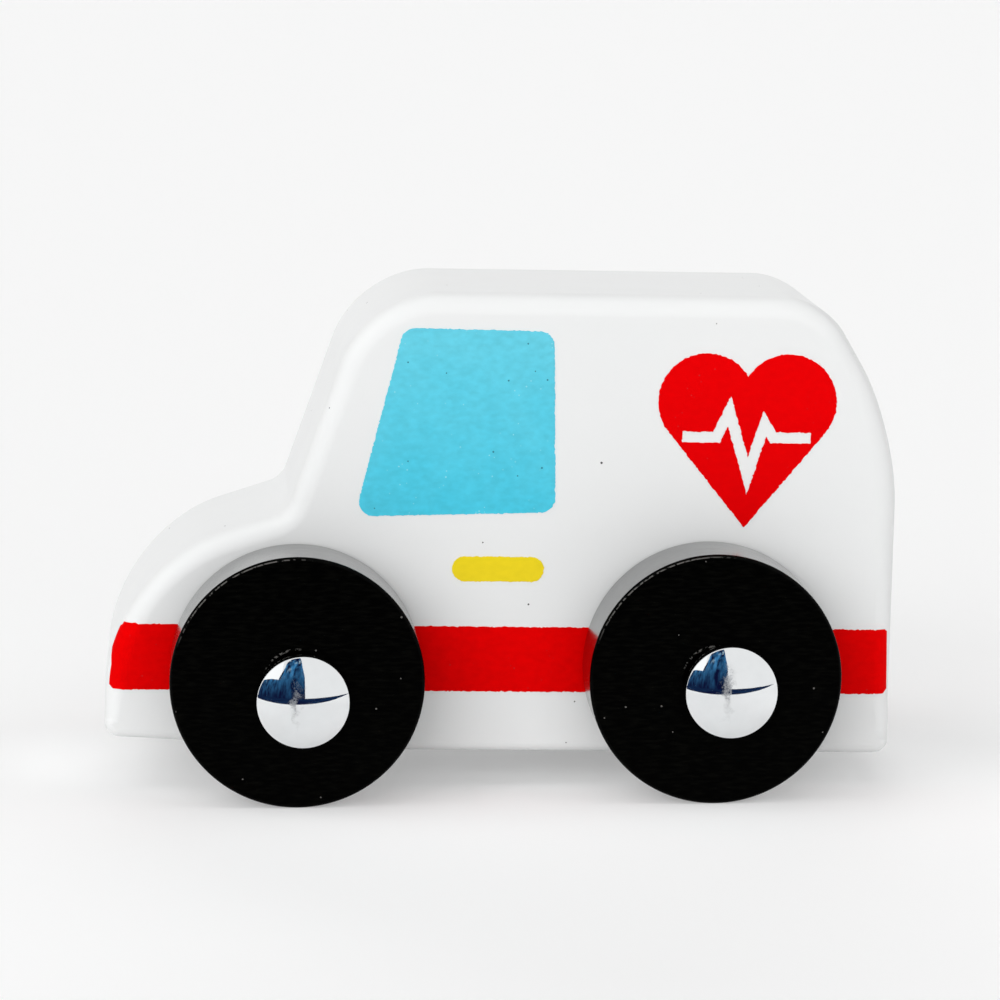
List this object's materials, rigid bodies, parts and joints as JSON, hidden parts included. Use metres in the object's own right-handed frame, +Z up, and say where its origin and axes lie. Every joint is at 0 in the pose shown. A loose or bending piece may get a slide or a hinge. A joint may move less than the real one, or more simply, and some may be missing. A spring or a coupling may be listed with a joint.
{
  "type": "toy ambulance",
  "caption": "Push-along wooden toy ambulance: rounded white block with printed window, door handle, stripe and heart, on loose black disc wheels held by domed chrome axle caps.",
  "frame": {"origin": "on the floor under the middle of the toy's box, between the wheels", "axes": "+X from the nose to the tail, +Y from the left side to the right side, +Z up"},
  "size_m": [0.0794, 0.0498, 0.0499],
  "materials": {
    "white_lacquered_wood": "gloss white lacquer over hardwood, edges rounded over",
    "black_lacquered_wood": "gloss black lacquer over turned hardwood, faint grain",
    "axle_steel": "bright drawn steel rod",
    "cap_chrome": "mirror-bright plated sheet steel",
    "spring_steel": "dark spring steel sheet",
    "blue_ink": "screen-printed light blue ink, fine speckle",
    "red_ink": "screen-printed red ink",
    "yellow_ink": "screen-printed yellow ink"
  },
  "bodies": {
    "body": {"body_block": "white_lacquered_wood", "left_window": "blue_ink", "right_window": "blue_ink", "left_door_handle": "yellow_ink", "right_door_handle": "yellow_ink", "left_stripe": "red_ink", "right_stripe": "red_ink", "left_heart": "red_ink", "right_heart": "red_ink"},
    "front_axle_set": {"front_axle": "axle_steel", "front_left_cap": "cap_chrome", "front_right_cap": "cap_chrome", "front_left_push_nut": "spring_steel", "front_right_push_nut": "spring_steel"},
    "rear_axle_set": {"rear_axle": "axle_steel", "rear_left_cap": "cap_chrome", "rear_right_cap": "cap_chrome", "rear_left_push_nut": "spring_steel", "rear_right_push_nut": "spring_steel"},
    "front_left_wheel": {"front_left_wheel": "black_lacquered_wood"},
    "front_right_wheel": {"front_right_wheel": "black_lacquered_wood"},
    "rear_left_wheel": {"rear_left_wheel": "black_lacquered_wood"},
    "rear_right_wheel": {"rear_right_wheel": "black_lacquered_wood"}
  },
  "joints": [
    {"name": "front_axle_turn", "type": "hinge", "parent": "body", "child": "front_axle_set", "pos_m": [-0.02009, 0, 0.01093], "axis": [0, 1, 0], "continuous": true},
    {"name": "rear_axle_turn", "type": "hinge", "parent": "body", "child": "rear_axle_set", "pos_m": [0.02193, 0, 0.01153], "axis": [0, 1, 0], "continuous": true},
    {"name": "front_left_wheel_roll", "type": "hinge", "parent": "body", "child": "front_left_wheel", "pos_m": [-0.0206, 0, 0.0125], "axis": [0, 1, 0], "continuous": true},
    {"name": "front_right_wheel_roll", "type": "hinge", "parent": "body", "child": "front_right_wheel", "pos_m": [-0.0206, 0, 0.0125], "axis": [0, 1, 0], "continuous": true},
    {"name": "rear_left_wheel_roll", "type": "hinge", "parent": "body", "child": "rear_left_wheel", "pos_m": [0.0206, 0, 0.0125], "axis": [0, 1, 0], "continuous": true},
    {"name": "rear_right_wheel_roll", "type": "hinge", "parent": "body", "child": "rear_right_wheel", "pos_m": [0.0206, 0, 0.0125], "axis": [0, 1, 0], "continuous": true}
  ]
}
